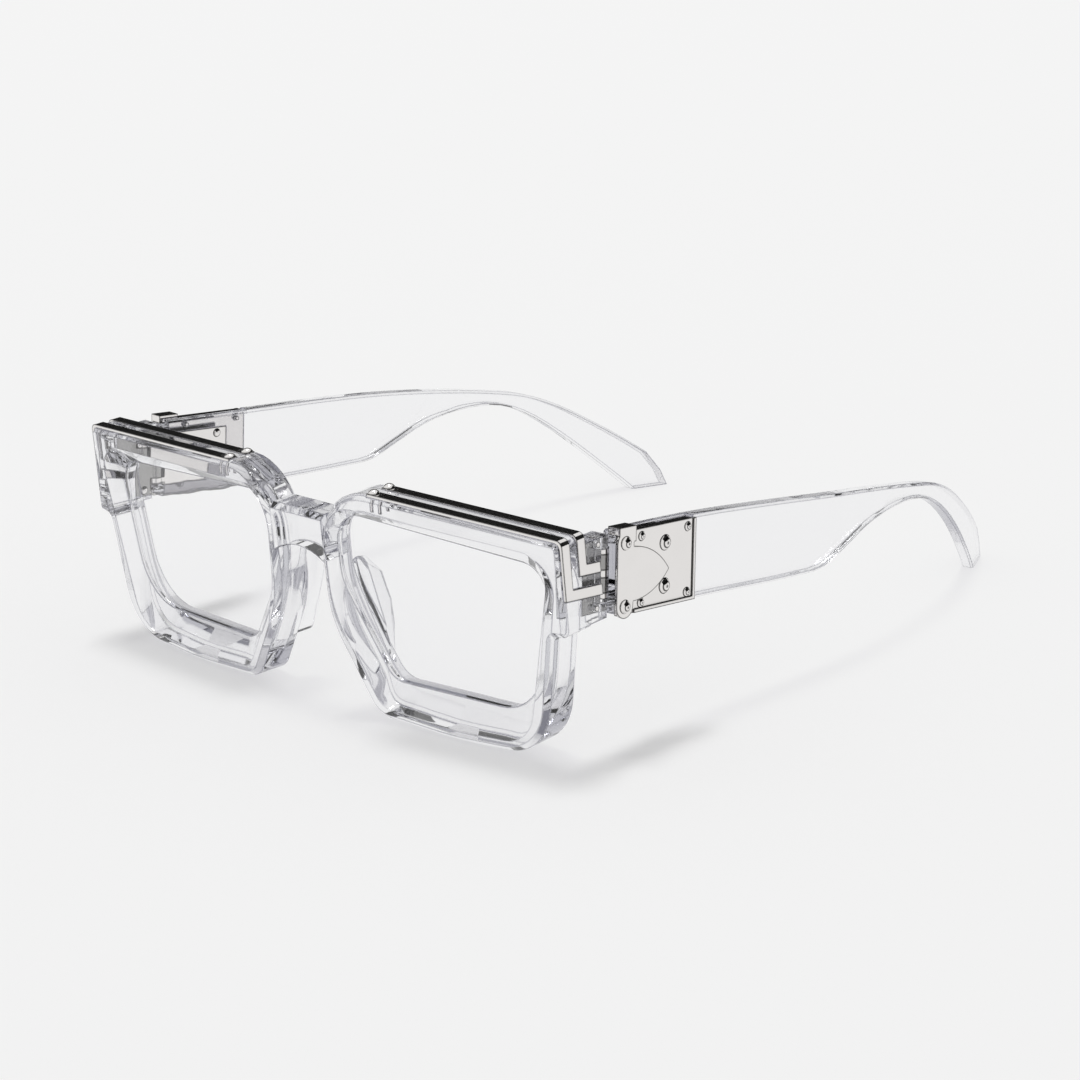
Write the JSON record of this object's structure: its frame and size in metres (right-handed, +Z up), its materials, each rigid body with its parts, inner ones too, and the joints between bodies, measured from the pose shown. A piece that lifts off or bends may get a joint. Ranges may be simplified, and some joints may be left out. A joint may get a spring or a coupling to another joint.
{
  "type": "eyeglasses",
  "caption": "Square eyeglasses in thick clear plastic with polished metal brow strips, riveted hinge plates and two folding temples.",
  "frame": {"origin": "centre of the bounding box of the open glasses, on the plane of the table they stand on", "axes": "+Y from the front towards the temple tips, +Z up, +X towards the wearer's left"},
  "size_m": [0.144, 0.1471, 0.0478],
  "materials": {
    "clear_plastic": "clear, glossy",
    "lens_glass": "clear, polished",
    "polished_nickel": "polished",
    "hinge_steel": "dark satin"
  },
  "bodies": {
    "front": {"front_frame": "clear_plastic", "lens_left": "lens_glass", "lens_right": "lens_glass", "front_rail_left": "polished_nickel", "front_rail_right": "polished_nickel", "rear_rail_left": "polished_nickel", "rear_rail_right": "polished_nickel", "rail_studs_left": "polished_nickel", "rail_studs_right": "polished_nickel", "front_hinge_left": "hinge_steel", "front_hinge_right": "hinge_steel", "front_hinge_rivets_left": "polished_nickel", "front_hinge_rivets_right": "polished_nickel", "hinge_screw_left": "hinge_steel", "hinge_screw_right": "hinge_steel"},
    "left_arm": {"temple_hinge_left": "polished_nickel", "temple_left": "clear_plastic", "cover_plate_left": "polished_nickel", "tongue_plate_left": "polished_nickel", "ear_rivets_left": "polished_nickel", "centre_rivets_left": "polished_nickel", "corner_rivets_left": "polished_nickel"},
    "right_arm": {"temple_hinge_right": "polished_nickel", "temple_right": "clear_plastic", "cover_plate_right": "polished_nickel", "tongue_plate_right": "polished_nickel", "ear_rivets_right": "polished_nickel", "centre_rivets_right": "polished_nickel", "corner_rivets_right": "polished_nickel"}
  },
  "joints": [
    {"name": "left_hinge", "type": "hinge", "parent": "front", "child": "left_arm", "pos_m": [0.0673, -0.05525, 0.03508], "axis": [-0.0085, 0.1251, 0.9921], "range_deg": [0, 82]},
    {"name": "right_hinge", "type": "hinge", "parent": "front", "child": "right_arm", "pos_m": [-0.0673, -0.05525, 0.03508], "axis": [0.0085, 0.1251, 0.9921], "range_deg": [-61, 0]}
  ]
}
